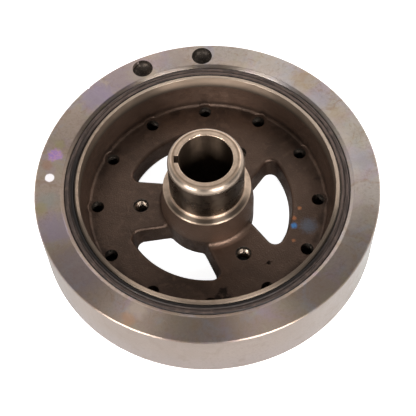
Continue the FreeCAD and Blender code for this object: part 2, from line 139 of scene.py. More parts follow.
class BalancerColours(bpy.types.PropertyGroup):
    """Colours of the finishes."""

    casting: FloatVectorProperty(
        name="Casting", description="Oily cast iron of the web and barrel", subtype="COLOR",
        size=4, min=0.0, max=1.0, default=(0.105, 0.068, 0.050, 1.0))
    turned: FloatVectorProperty(
        name="Turned iron", description="Turned faces of the inertia ring", subtype="COLOR",
        size=4, min=0.0, max=1.0, default=(0.50, 0.40, 0.34, 1.0))
    ground: FloatVectorProperty(
        name="Ground iron", description="Ground journal and turned shoulder", subtype="COLOR",
        size=4, min=0.0, max=1.0, default=(0.56, 0.465, 0.385, 1.0))
    rubber: FloatVectorProperty(
        name="Rubber", description="Rubber strip between hub and ring", subtype="COLOR",
        size=4, min=0.0, max=1.0, default=(0.044, 0.031, 0.026, 1.0))
    white_paint: FloatVectorProperty(
        name="White paint", description="Inspection dot on the ring", subtype="COLOR",
        size=4, min=0.0, max=1.0, default=(0.93, 0.88, 0.89, 1.0))
    purple_paint: FloatVectorProperty(
        name="Purple paint", description="Smudged paint mark on the ring", subtype="COLOR",
        size=4, min=0.0, max=1.0, default=(0.27, 0.15, 0.42, 1.0))


class BalancerStudio(bpy.types.PropertyGroup):
    """Camera, lamps and floor."""

    camera_distance: FloatProperty(
        name="Camera distance", description="From the aim point to the camera",
        unit="LENGTH", subtype="DISTANCE", min=0.1, default=0.6257)
    camera_bearing: FloatProperty(
        name="Camera bearing", description="Direction from the axis to the camera",
        unit="ROTATION", subtype="ANGLE", default=math.radians(271.0))
    camera_pitch: FloatProperty(
        name="Camera pitch", description="How far the camera looks down",
        unit="ROTATION", subtype="ANGLE", default=math.radians(60.43))
    camera_roll: FloatProperty(
        name="Camera roll", description="Turn of the camera about its line of sight",
        unit="ROTATION", subtype="ANGLE", default=math.radians(-2.8))
    camera_lens: FloatProperty(
        name="Camera lens", description="Focal length in millimetres", min=10.0, default=93.34)
    aim_offset: FloatProperty(
        name="Aim offset", description="Aim point in front of the axis, on the ring's rear face",
        unit="LENGTH", subtype="DISTANCE", default=0.0173)
    lamp_power: FloatProperty(
        name="Lamp power", description="Power of each soft lamp in watts", min=0.0, default=9.0)
    sky_level: FloatProperty(
        name="Sky level", description="Strength of the light from all round", min=0.0,
        default=0.36)


class BalancerThreads(bpy.types.PropertyGroup):
    """Threads in the tapped holes."""

    weight_pitch: FloatProperty(
        name="Weight hole pitch", description="Thread pitch of the holes round the web",
        unit="LENGTH", subtype="DISTANCE", min=0.0005, default=0.0015875)
    pulley_pitch: FloatProperty(
        name="Pulley hole pitch", description="Thread pitch of the holes in the spokes",
        unit="LENGTH", subtype="DISTANCE", min=0.0005, default=0.0010583)
    steps: IntProperty(
        name="Steps", description="Sides of one thread turn", min=8, default=24)


class Nodes:
    """A node tree that is written with short calls."""

    def __init__(self, tree):
        self.tree = tree

    def node(self, kind, **settings):
        made = self.tree.nodes.new(kind)
        for key, value in settings.items():
            setattr(made, key, value)
        return made

    def link(self, source, target):
        self.tree.links.new(source, target)

    def feed(self, target, value):
        """Link an output to a socket, or set the socket if the value is a number or colour."""
        if isinstance(value, bpy.types.NodeSocket):
            self.link(value, target)
        else:
            target.default_value = value

    def put(self, node, **values):
        """Set or link a node's sockets; underscores stand for spaces."""
        for key, value in values.items():
            self.feed(node.inputs[key.replace("_", " ")], value)

    def math(self, operation, *values):
        made = self.node("ShaderNodeMath", operation=operation)
        for socket, value in zip(made.inputs, values):
            self.feed(socket, value)
        return made.outputs[0]

    def times(self, product, *factors):
        for factor in factors:
            product = self.math("MULTIPLY", product, factor)
        return product

    def distance(self, place, point):
        made = self.node("ShaderNodeVectorMath", operation="DISTANCE")
        self.link(place, made.inputs[0])
        made.inputs[1].default_value = point
        return made.outputs["Value"]

    def band(self, value, low, high, out_low=0.0, out_high=1.0, step="SMOOTHSTEP"):
        """Step from one value to another between two limits, smooth unless it is to be even."""
        made = self.node("ShaderNodeMapRange", interpolation_type=step)
        self.put(made, Value=value, From_Min=low, From_Max=high, To_Min=out_low, To_Max=out_high)
        return made.outputs["Result"]


class Finish(Nodes):
    """A material in layers: each lays a colour over what is there. Lengths are millimetres."""

    def __init__(self, name, base):
        self.material = bpy.data.materials.new(name)
        self.material.use_nodes = True
        super().__init__(self.material.node_tree)
        self.surface = self.tree.nodes["Principled BSDF"]
        self.base = tuple(base)
        self.colour = self.base
        coordinates = self.node("ShaderNodeTexCoord")
        scaled = self.node("ShaderNodeVectorMath", operation="SCALE")
        scaled.inputs["Scale"].default_value = PER_METRE
        self.link(coordinates.outputs["Object"], scaled.inputs[0])
        self.place = scaled.outputs["Vector"]
        separate = self.node("ShaderNodeSeparateXYZ")
        self.link(self.place, separate.inputs[0])
        self.x, self.y, self.z = separate.outputs
        flat = self.node("ShaderNodeVectorMath", operation="MULTIPLY")
        flat.inputs[1].default_value = (1.0, 1.0, 0.0)
        self.link(self.place, flat.inputs[0])
        length = self.node("ShaderNodeVectorMath", operation="LENGTH")
        self.link(flat.outputs["Vector"], length.inputs[0])
        self.radius = length.outputs["Value"]
        self.angle = self.math("ARCTAN2", self.y, self.x)

    def combine(self, x, y, z):
        made = self.node("ShaderNodeCombineXYZ")
        self.put(made, X=x, Y=y, Z=z)
        return made.outputs[0]

    def noise(self, scale, detail=3.0, place=None, roughness=0.55, distortion=0.0):
        """Noise of about one feature in every 1/scale millimetres."""
        made = self.node("ShaderNodeTexNoise")
        self.put(made, Vector=place or self.place, Scale=scale, Detail=detail)
        self.put(made, Roughness=roughness, Distortion=distortion)
        return made.outputs["Fac"]

    def above(self, level, start, end, out_low=0.0, out_high=1.0):
        """Smooth step between two heights over a level."""
        return self.band(self.z, level + start, level + end, out_low, out_high)

    def between(self, value, low, high, blur):
        """One between two limits and zero outside them."""
        rising = self.band(value, low - blur, low + blur)
        return self.times(rising, self.band(value, high - blur, high + blur, 1.0, 0.0))

    def blot(self, centre, level, radius, blur, ragged, noise_scale):
        """Round patch at X and Y on a level, its edge pulled about by noise."""
        shift = self.math("SUBTRACT", self.noise(noise_scale, 2.0), 0.5)
        reach = self.distance(self.place, (*centre, level))
        reach = self.math("ADD", reach, self.times(shift, ragged))
        return self.band(reach, radius - blur, radius + blur, 1.0, 0.0)

    def tint(self, factor, warm=1.0):
        """The base colour made darker or lighter, and warmer or cooler."""
        return tinted(self.base, factor, warm)

    def scaled(self, red, green, blue):
        """The base colour with a factor on each channel."""
        return (self.base[0] * red, self.base[1] * green, self.base[2] * blue, 1.0)

    def far(self, start, end):
        """Smooth step from the near left to the far right, by Y and half of X."""
        return self.band(self.math("MULTIPLY_ADD", self.x, 0.5, self.y), start, end)

    def mix(self, share, first, second):
        made = self.node("ShaderNodeMix", data_type="RGBA")
        self.feed(made.inputs[0], share)
        self.feed(made.inputs[6], first)
        self.feed(made.inputs[7], second)
        return made.outputs[2]

    def lay(self, share, colour):
        self.colour = self.mix(share, self.colour, colour)

    def tone(self, share, factor, warm=1.0):
        """Lay a tint of the base colour over what is there."""
        self.lay(share, self.tint(factor, warm))

    def start(self, share, first, second):
        """Begin with two tints of the base colour, each a factor and a warmth."""
        self.colour = self.mix(share, self.tint(*first), self.tint(*second))

    def bump(self, height, strength, distance):
        """Bump of a height field; the distance is in millimetres."""
        made = self.node("ShaderNodeBump")
        self.put(made, Height=height, Strength=strength, Distance=distance / PER_METRE)
        self.put(self.surface, Normal=made.outputs["Normal"])

    def lathe_marks(self, per_millimetre, waver=0.3):
        """Fine rings that follow the radius on a face and the height on a wall."""
        drift = self.times(self.noise(0.02, 1.0), waver)
        radial = self.math("ADD", self.times(self.radius, per_millimetre), drift)
        axial = self.math("ADD", self.times(self.z, per_millimetre), drift)
        return self.noise(1.0, 2.0, self.combine(radial, axial, 0.0))

    def turn(self, marks, strength, depth, streak):
        """Bump of turning marks, with the gloss stretched across them round the bore axis."""
        self.bump(marks, strength, depth)
        tangent = self.node("ShaderNodeTangent", direction_type="RADIAL", axis="Z")
        self.put(self.surface, Tangent=tangent.outputs["Tangent"])
        self.put(self.surface, Anisotropic=streak, Anisotropic_Rotation=0.25)

    def done(self, metallic, roughness):
        self.put(self.surface, Base_Color=self.colour, Metallic=metallic, Roughness=roughness)
        return self.material


def colours():
    return bpy.context.scene.balancer_colours


def tinted(colour, factor, warm=1.0):
    return (colour[0] * factor * warm, colour[1] * factor, colour[2] * factor / warm, 1.0)


# Bands of the casting, by radius, and the stretches of Y, or bearing in radians, that limit them.
WELL_FOOT = (66.5, 73.5)
# Painted highlight along the foot fillet, and the stretch of Y over which it fades in.
FOOT_HIGHLIGHT = (69.8, 71.4)
FOOT_HIGHLIGHT_FADE = (25.0, 55.0)
WELL_WALL_FADE = (15.0, 65.0)
# Painted highlight on the root fillet of one spoke: radii, and bearings in radians.
SPOKE_ROOT_HIGHLIGHT = (28.4, 31.8)
ROOT_HIGHLIGHT_BEARINGS = (-1.5, -0.8)
SNOUT_CLEAR = 20.0
# Oily dirt on the web: X and Y, and radius.
DIRT_PATCHES = (
    ((8.0, -59.0), 2.2),
    ((9.5, -66.0), 4.2),
    ((4.5, -63.5), 2.2),
    ((34.0, -58.5), 2.4),
    ((35.0, -41.6), 1.2),
)
# Paint on the web: X and Y, radius and colour.
PAINT_SPOTS = (
    ((55.4, -5.6), 1.1, (0.45, 0.16, 0.05)),
    ((51.7, -12.4), 1.2, (0.40, 0.13, 0.04)),
    ((50.4, -27.6), 1.0, (0.42, 0.15, 0.05)),
    ((51.2, -17.5), 1.7, (0.04, 0.25, 0.62)),
    ((60.0, -18.0), 4.5, (0.10, 0.11, 0.14)),
)


def casting_finish():
    """Oily sand casting: dark brown, grainy, darker at the foot of the well's wall, with painted
    light and highlights, and paint spots.
    """
    finish = Finish("oiled_casting", colours().casting)
    clouds = finish.noise(0.035, 4.0)
    patches = finish.noise(0.18, 4.0, distortion=0.6)
    finish.start(finish.band(clouds, 0.35, 0.65), (0.85, 1.0), (1.15, 1.02))
    finish.tone(finish.band(patches, 0.5, 0.72), 1.3, 1.02)
    finish.tone(finish.band(finish.noise(1.4, 3.0), 0.62, 0.74), 1.7, 0.98)
    wear_casting(finish)
    paint = mark_casting(finish)
    grain = finish.noise(1.1, 4.0, roughness=0.6)
    pits = finish.band(finish.noise(0.7, 2.0), 0.6, 0.8)
    finish.bump(finish.math("SUBTRACT", grain, finish.times(pits, 0.35)), 0.7, 0.3)
    metal = finish.math("MULTIPLY_ADD", paint, -0.8, 0.8)
    return finish.done(metal, finish.band(finish.noise(0.25, 3.0), 0.3, 0.7, 0.36, 0.5))


def wear_casting(finish):
    """Darker patches at the foot of the well's wall, a lighter barrel, painted light on the far
    wall, and painted highlights on the spoke root and the foot fillet.
    """
    # Darker in broken patches at the foot of the well's wall, where it meets the web.
    foot = finish.between(finish.radius, *WELL_FOOT, 2.5)
    low = finish.above(WEB_TOP, 1.0, 6.0, 1.0, 0.0)
    dirt = finish.band(finish.noise(0.09, 3.0), 0.42, 0.62)
    finish.tone(finish.times(foot, low, dirt, 0.75), 0.4)
    barrel = finish.between(finish.radius, SNOUT_CLEAR, BARREL_RADIUS + 0.6, 1.0)
    finish.tone(finish.times(barrel, finish.above(WEB_TOP, 1.0, 3.0)), 1.9, 1.03)
    wall = finish.between(finish.radius, BORED_RADIUS - 4.0, BORED_RADIUS + 1.0, 1.5)
    high = finish.above(WEB_TOP, 2.0, 5.0)
    lit = finish.band(finish.y, *WELL_WALL_FADE, 0.15, 0.65)
    finish.tone(finish.times(wall, high, lit), 2.2, 1.02)
    # Painted highlight on the fillet at the root of one spoke.
    root = finish.between(finish.radius, *SPOKE_ROOT_HIGHLIGHT, 0.8)
    spoke = finish.between(finish.angle, *ROOT_HIGHLIGHT_BEARINGS, 0.2)
    on_web = finish.above(WEB_TOP, -0.6, 0.0, 0.0, 0.75)
    finish.tone(finish.times(root, spoke, on_web), 2.9, 1.02)
    # Painted highlight along the foot fillet of the well's wall, on the far side.
    line = finish.between(finish.radius, *FOOT_HIGHLIGHT, 0.5)
    far = finish.band(finish.y, *FOOT_HIGHLIGHT_FADE)
    on_foot = finish.above(WEB_TOP, 0.1, 0.6)
    broken = finish.band(finish.noise(0.12, 2.0), 0.35, 0.6, 0.5, 1.0)
    finish.tone(finish.times(line, far, on_foot, broken), 4.8)


def mark_casting(finish):
    """Lay the dirt and the paint spots, and give the share that is paint."""
    for centre, radius in DIRT_PATCHES:
        spot = finish.blot(centre, WEB_TOP, radius, radius * 0.4, radius * 2.0, 0.5)
        finish.tone(finish.times(spot, 0.85), 0.12)
    paint = 0.0
    for centre, radius, colour in PAINT_SPOTS:
        spot = finish.blot(centre, WEB_TOP, radius, radius * 0.6, radius * 1.2, 0.8)
        spot = finish.times(spot, 0.8)
        finish.lay(spot, (*colour, 1.0))
        paint = finish.math("MAXIMUM", spot, paint)
    return paint


# The worn line and the painted shade and light on the faced iron: radii of the worn line, and
# stretches of Y, or of X where the name says sides, over which the rest fades. The shift puts the
# middle of the rim's painted shade at X = -8.
WORN_LINE = (BORE_RADIUS + 2.5, BORE_RADIUS + 3.5)
SHOULDER_SHADE = (-16.0, -5.0)
RIM_SHIFT = 8.0
RIM_SIDES = (33.0, 56.0)
RIM_SHADE = (-26.0, -12.0)
RIM_FAR = (5.0, 60.0)


def faced_finish(name, streak, lightness):
    """Faced end, shoulder or rim, with painted shade that dulls parts of the shoulder and the rim,
    and painted light on the rim far off.
    """
    finish = Finish(name, colours().ground)
    stain = finish.noise(0.25, 3.0)
    clean, oiled = (1.6 * lightness, 1.11), (1.25 * lightness, 1.13)
    finish.start(finish.band(stain, 0.4, 0.65), clean, oiled)
    # Painted shade: a dark band on the flat of the shoulder, darkest on its near side.
    low = finish.above(SHOULDER_TOP, 1.0, 2.0, 1.0, 0.0)
    oily = finish.between(finish.radius, JOURNAL_RADIUS + 0.9, SHOULDER_RADIUS - 0.9, 0.4)
    nearby = finish.band(finish.y, *SHOULDER_SHADE, 0.92, 0.2)
    finish.tone(finish.times(oily, low, nearby), 0.17, 1.12)
    edge = finish.between(finish.radius, *WORN_LINE, 0.5)
    wear_and_light = finish.band(finish.noise(0.12, 3.0), 0.3, 0.5, 0.4, 1.0)
    finish.tone(finish.times(wear_and_light, finish.times(edge, 0.85)), 0.4, 1.3)
    lead_in = finish.band(finish.radius, LEAD_IN_RADIUS - 0.3, LEAD_IN_RADIUS + 0.3)
    lead_in = finish.times(lead_in, finish.above(SNOUT_TOP, -6.0, -5.0))
    finish.tone(lead_in, 0.6, 1.06)
    shade_rim(finish)
    marks = finish.lathe_marks(3.0)
    finish.tone(finish.times(marks, 0.3), 0.6, 1.04)
    finish.turn(marks, 0.35, 0.06, streak)
    roughness = finish.band(stain, 0.3, 0.7, 0.35, 0.41)
    return finish.done(0.85, finish.math("MULTIPLY_ADD", lead_in, -0.07, roughness))


def shade_rim(finish):
    """Painted shade on the rim's top at the sides of its near half, and painted light, lighter and
    warmer, far off.
    """
    on_rim = finish.band(finish.radius, BORED_RADIUS - 1.0, BORED_RADIUS - 0.5)
    reach = finish.math("ABSOLUTE", finish.math("ADD", finish.x, RIM_SHIFT))
    aside, nearby = finish.band(reach, *RIM_SIDES), finish.band(finish.y, *RIM_SHADE, 0.92, 0.0)
    finish.tone(finish.times(aside, nearby, on_rim), 0.27, 1.12)
    finish.tone(finish.times(finish.far(*RIM_FAR), on_rim), 1.02, 1.06)


# The same painted shade and light on the bored rim and its outer chamfer, and the heights of the
# rim's dark foot.
BORED_FOOT = (WEB_TOP, RING_TOP - 6.0)
BORED_SHADE = (20.0, 68.0)
BORED_FAR = (66.0, 75.0)
CHAMFER_FAR = (-10.0, 50.0)
CHAMFER_SIDES = (30.0, 60.0)


def bored_finish():
    """Bored rim and machined front of the casting, with oil stains, painted shade near by, painted
    light far off, and a darker foot.
    """
    finish = Finish("bored_casting", colours().ground)
    stain = finish.noise(0.05, 4.0)
    finish.start(finish.band(stain, 0.35, 0.65), (0.62, 1.1), (0.95, 1.1))
    marks = finish.lathe_marks(3.0)
    finish.tone(finish.times(marks, 0.4), 0.45, 1.1)
    # Painted shade over the rim except far off, and painted light on its far side.
    finish.tone(finish.band(finish.y, *BORED_SHADE, 0.92, 0.0), 0.26, 1.14)
    finish.tone(finish.band(finish.y, *BORED_FAR, 0.0, 0.5), 1.6, 1.1)
    # Painted shade on the outer chamfer near by, darkest at its sides, and painted light on it far
    # off.
    outer = finish.band(finish.radius, RIM_RADIUS - 1.2, RIM_RADIUS - 0.8)
    aside = finish.band(finish.math("ABSOLUTE", finish.x), *CHAMFER_SIDES)
    nearby = finish.mix(aside, finish.tint(0.3, 1.1), finish.tint(0.14, 1.1))
    chamfer = finish.mix(finish.far(*CHAMFER_FAR), nearby, finish.tint(1.2, 1.05))
    finish.lay(finish.times(outer, 0.85), chamfer)
    finish.tone(finish.between(finish.z, *BORED_FOOT, 3.0), 0.2, 1.1)
    finish.turn(marks, 0.35, 0.06, 0.6)
    return finish.done(0.7, finish.band(stain, 0.3, 0.7, 0.42, 0.5))


# Heights of the journal's oily running band, and the stretch of X where painted shade darkens the
# bore.
RUNNING_BAND = (SHOULDER_TOP + 1.3, SNOUT_TOP - 4.0)
BORE_SHADE = (5.0, 14.0)


def journal_finish():
    """Ground seal journal: an oily running band between two clean ends."""
    finish = Finish("ground_journal", colours().ground)
    marks = finish.lathe_marks(6.0, 0.1)
    smears = finish.noise(0.12, 3.0)
    finish.start(finish.band(smears, 0.4, 0.7), (1.5, 1.06), (1.2, 1.08))
    dirty = finish.band(smears, 0.35, 0.65)
    oily = finish.mix(dirty, finish.tint(0.18, 1.16), finish.tint(0.29, 1.1))
    wall = finish.between(finish.z, *RUNNING_BAND, 0.7)
    finish.lay(wall, oily)
    finish.turn(marks, 0.2, 0.03, 0.9)
    roughness = finish.band(smears, 0.3, 0.7, 0.38, 0.44)
    return finish.done(1.0, finish.math("MULTIPLY_ADD", wall, -0.12, roughness))


def bore_finish():
    """Crank bore and keyway: coarser marks, patchy oil, and painted shade that darkens it towards
    +X.
    """
    finish = Finish("bored_iron", colours().ground)
    marks = finish.lathe_marks(2.2, 0.2)
    oil = finish.noise(0.15, 3.0)
    finish.start(finish.band(oil, 0.3, 0.75), (0.27, 1.2), (0.19, 1.22))
    finish.tone(finish.band(finish.x, *BORE_SHADE, 0.0, 0.85), 0.05, 1.3)
    finish.turn(marks, 0.5, 0.08, 0.85)
    return finish.done(0.9, 0.4)


def drill_finish():
    """Rough dark floor and wall of the drilled and tapped holes; the dark colour is partly painted
    shade inside them.
    """
    finish = Finish("drilled_iron", colours().ground)
    speck = finish.noise(1.2, 3.0)
    finish.start(finish.band(speck, 0.5, 0.75), (0.07, 1.08), (0.25, 1.08))
    finish.bump(speck, 0.5, 0.3)
    return finish.done(0.7, 0.5)


def tap_finish():
    """Cut threads that glint in the pulley holes."""
    finish = Finish("tapped_iron", colours().ground)
    speck = finish.noise(0.8, 3.0)
    finish.start(finish.band(speck, 0.45, 0.65), (0.3, 1.08), (0.75, 1.05))
    finish.bump(speck, 0.3, 0.1)
    return finish.done(1.0, 0.34)


# Stretches across the ring over which it turns grey, darker and browner as painted shade, and
# lighter, how far their limits wander, the radii of its lighter inner band, and the stretch of X
# where painted shade darkens its lip.
RING_GREY = (15.0, 95.0)
RING_NEAR_SHADE = (-70.0, -20.0)
RING_DRIFT = 120.0
RING_LIGHTER = (30.0, 80.0)
RING_INNER = (RING_LIP, 94.0)
LIP_SHADE = (-82.0, -62.0)
# Oil films on the ring: offset of the pattern, strength and colour.
RING_TINTS = (
    (31.0, 0.45, (0.43, 0.44, 0.52)),
    (87.0, 0.45, (0.47, 0.34, 0.22)),
    (143.0, 0.45, (0.46, 0.34, 0.43)),
    (211.0, 0.40, (0.47, 0.42, 0.29)),
)
# Thin rusty lines across the ring: bearing in degrees and strength.
RING_LINES = (
    (50.0, 0.4), (33.5, 0.55), (-2.0, 0.5), (-25.0, 0.45), (-31.0, 0.3),
    (176.5, 0.3), (179.0, 0.4),
)
# Half width of a line's core and of the whole line, in radians.
RING_LINE_WIDTHS = (0.003, 0.02)
# Single stains on the ring's rear face, and one painted highlight: X and Y, radius, strength and
# colour.
RING_STAINS_AND_HIGHLIGHT = (
    ((-88.0, 30.0), 3.0, 0.4, (0.46, 0.42, 0.18)),
    ((-95.0, 16.0), 3.4, 0.45, (0.52, 0.26, 0.18)),
    ((-66.0, 65.0), 10.0, 0.6, (0.38, 0.31, 0.46)),
    ((-93.0, -9.0), 5.5, 0.5, (0.42, 0.44, 0.40)),
    ((-97.0, -14.0), 4.0, 0.5, (0.50, 0.42, 0.20)),
    ((-88.0, -28.0), 9.0, 0.45, (0.42, 0.36, 0.47)),
    ((-72.0, -55.0), 14.0, 0.45, (0.40, 0.32, 0.36)),
    ((-45.2, -85.7), 4.0, 0.6, (0.58, 0.33, 0.20)),
    # Light tan patch on the streak at 243 degrees: a painted highlight.
    ((-40.3, -79.8), 5.0, 0.5, (0.68, 0.55, 0.45)),
    ((-20.0, 90.0), 11.0, 0.5, (0.34, 0.27, 0.25)),
    ((-50.0, 78.0), 12.0, 0.5, (0.34, 0.27, 0.33)),
    ((-40.0, 80.0), 7.0, 0.4, (0.52, 0.44, 0.30)),
    ((62.0, 72.0), 7.0, 0.5, (0.50, 0.36, 0.22)),
    ((81.0, 44.0), 6.0, 0.45, (0.52, 0.38, 0.25)),
    ((91.0, 12.0), 7.0, 0.4, (0.44, 0.45, 0.52)),
    ((70.0, 56.0), 6.0, 0.35, (0.44, 0.46, 0.54)),
)
WHITE_DOT = (-92.9, 6.9)
DOT_RADIUS = 2.8
PURPLE_SMUDGE = (-90.4, 22.7)
SMUDGE_RADIUS = 4.3


def ring_finish():
    """Turned inertia ring: grey to one side, darker and browner near by as painted shade, with oil
    films and paint marks.
    """
    finish = Finish("turned_ring", colours().turned)
    oil_and_shade_ring(finish)
    grit = rust_ring(finish)
    line_ring(finish)
    paint = mark_ring(finish)
    finish.turn(finish.lathe_marks(2.6), 0.3, 0.06, 0.9)
    return finish.done(
        finish.math("SUBTRACT", 1.0, paint), finish.band(grit, 0.3, 0.7, 0.33, 0.4))


def oil_and_shade_ring(finish):
    """Grey to the far right, darker and browner near by as painted shade, with coloured films and
    streaks of oil.
    """
    drift = finish.times(finish.math("SUBTRACT", finish.noise(0.022, 4.0), 0.5), RING_DRIFT)
    side = finish.math("MULTIPLY_ADD", finish.y, 0.6, finish.x)
    clean = finish.band(finish.math("ADD", side, drift), *RING_GREY)
    finish.colour = finish.mix(clean, finish.tint(1.02, 1.03), finish.scaled(1.04, 1.13, 1.18))
    # Painted shade: the near side is darker and browner.
    near = finish.band(finish.math("ADD", finish.y, drift), *RING_NEAR_SHADE, 0.55, 0.0)
    finish.lay(near, finish.scaled(0.72, 0.68, 0.66))
    for seed, share, colour in RING_TINTS:
        place = finish.combine(finish.math("ADD", finish.x, seed), finish.y, seed)
        patch = finish.band(finish.noise(0.055, 4.0, place, 0.6, 0.8), 0.5, 0.68)
        finish.lay(finish.times(patch, share), (*colour, 1.0))
    round_ring = finish.times(finish.angle, 9.0)
    sweep = finish.combine(round_ring, finish.times(finish.radius, 0.03), finish.z)
    streaks = finish.band(finish.noise(0.9, 4.0, sweep), 0.5, 0.75)
    finish.tone(finish.times(streaks, 0.35), 0.6, 1.12)


def rust_ring(finish):
    """Specks of rust and grit, and a lighter inner band to the right; gives the grit."""
    rust = finish.noise(0.13, 6.0, roughness=0.7, distortion=2.2)
    finish.tone(finish.band(rust, 0.53, 0.66, 0.0, 0.55), 0.68, 1.17)
    grit = finish.noise(0.6, 6.0, roughness=0.8, distortion=0.5)
    gritty = finish.band(finish.noise(0.045, 3.0), 0.35, 0.62, 0.12, 0.5)
    finish.tone(finish.times(finish.band(grit, 0.47, 0.63), gritty), 0.62, 1.04)
    finish.tone(finish.times(finish.band(grit, 0.34, 0.46, 1.0, 0.0), 0.22), 1.3, 0.98)
    beyond = finish.band(finish.math("MULTIPLY_ADD", finish.y, 0.5, finish.x), *RING_LIGHTER)
    inner = finish.band(finish.radius, *RING_INNER, 1.0, 0.0)
    finish.tone(finish.times(inner, beyond, 0.25), 1.6, 0.97)
    return grit


def line_ring(finish):
    """Broken rusty lines across the ring, and painted shade on the lip to the left."""
    wander = finish.times(finish.math("SUBTRACT", finish.noise(0.1, 1.0), 0.5), 0.2)
    for bearing, share in RING_LINES:
        off = finish.math("SUBTRACT", finish.angle, math.radians(bearing))
        off = finish.math("ABSOLUTE", finish.math("ADD", off, wander))
        line = finish.band(off, *RING_LINE_WIDTHS, share, 0.0)
        broken = finish.band(finish.noise(0.3, 3.0), 0.3, 0.6, 0.3, 1.0)
        finish.tone(finish.times(line, broken), 0.66, 1.2)
    lip = finish.band(finish.radius, RING_LIP - 0.3, RING_LIP, 1.0, 0.0)
    leftward = finish.band(finish.x, *LIP_SHADE, 0.7, 0.0)
    finish.tone(finish.times(lip, leftward), 0.4, 1.08)


def mark_ring(finish):
    """Lay the stains, a painted highlight, the white dot and the purple smudge, and give the share
    of paint.
    """
    top = finish.above(RING_TOP, -0.4, -0.2)
    for centre, radius, share, colour in RING_STAINS_AND_HIGHLIGHT:
        patch = finish.blot(centre, RING_TOP, radius, radius * 0.5, radius * 1.3, 0.25)
        finish.lay(finish.times(patch, top, share), (*colour, 1.0))
    dot = finish.times(finish.blot(WHITE_DOT, RING_TOP, DOT_RADIUS, 0.3, 0.5, 1.0), top)
    finish.lay(finish.times(dot, 0.97), tuple(colours().white_paint))
    smudge = finish.blot(PURPLE_SMUDGE, RING_TOP, SMUDGE_RADIUS, 1.4, 7.0, 0.55)
    smudge = finish.times(smudge, top)
    purple = tuple(colours().purple_paint)
    pink = (purple[0] * 1.5, purple[1] * 1.1, purple[2], 1.0)
    smear = finish.noise(0.7, 3.0)
    violet = finish.mix(finish.band(smear, 0.4, 0.6), purple, pink)
    finish.lay(finish.times(smudge, finish.band(smear, 0.25, 0.75, 0.95, 0.5)), violet)
    return finish.math("MAXIMUM", dot, finish.times(smudge, 0.7))


# Darker iron than on the rear face, because the side mirrors the white round the part.
RING_SIDE_TINT = 0.54
# Heights at which the side turns warmer, and stretches of X of the painted light at its right and
# right end, and of the painted shade at its left.
SIDE_COOL = (6.0, 24.0)
SIDE_RIGHT_LIGHT = (20.0, 95.0)
SIDE_END_LIGHT = (76.0, 94.0)
SIDE_LEFT_SHADE = (-93.0, -70.0)


def ring_side_finish():
    """Turned outside of the ring, with a softer gloss, brown oil stains, painted light to the
    right and painted shade to the left.
    """
    finish = Finish("turned_ring_side", tinted(colours().turned, RING_SIDE_TINT))
    clouds = finish.noise(0.03, 4.0)
    finish.start(finish.band(clouds, 0.35, 0.65), (0.76, 1.02), (1.0, 0.97))
    finish.lay(finish.band(finish.z, *SIDE_COOL, 0.35, 0.0), finish.scaled(0.9, 1.02, 1.25))
    # Painted light to the right and at the right end, and painted shade to the left.
    finish.lay(finish.band(finish.x, *SIDE_RIGHT_LIGHT), finish.scaled(1.05, 1.16, 1.25))
    finish.lay(finish.band(finish.x, *SIDE_END_LIGHT), finish.scaled(1.15, 1.4, 1.55))
    finish.tone(finish.band(finish.x, *SIDE_LEFT_SHADE, 1.0, 0.0), 0.5)
    stains = finish.noise(0.09, 4.0, distortion=0.7)
    finish.tone(finish.band(stains, 0.52, 0.7, 0.0, 0.5), 0.62, 1.1)
    grit = finish.noise(0.75, 5.0, roughness=0.75)
    finish.tone(finish.band(grit, 0.46, 0.62, 0.0, 0.4), 0.68, 1.02)
    marks = finish.lathe_marks(2.6)
    finish.tone(finish.times(marks, 0.3), 0.75, 1.03)
    finish.turn(marks, 0.3, 0.06, 0.3)
    return finish.done(1.0, finish.band(clouds, 0.3, 0.7, 0.42, 0.5))


# Radius of the first bead's crest, and the stretch from the near side, with painted shade, to the
# far side, where painted light makes the strip paler.
RUBBER_CREST = 79.8
RUBBER_FAR = (-30.0, 40.0)
# Radius and strength of the painted shade lines beside and between the beads.
RUBBER_SHADE_LINES = ((78.6, 0.85), (81.2, 0.4), (83.9, 0.9))


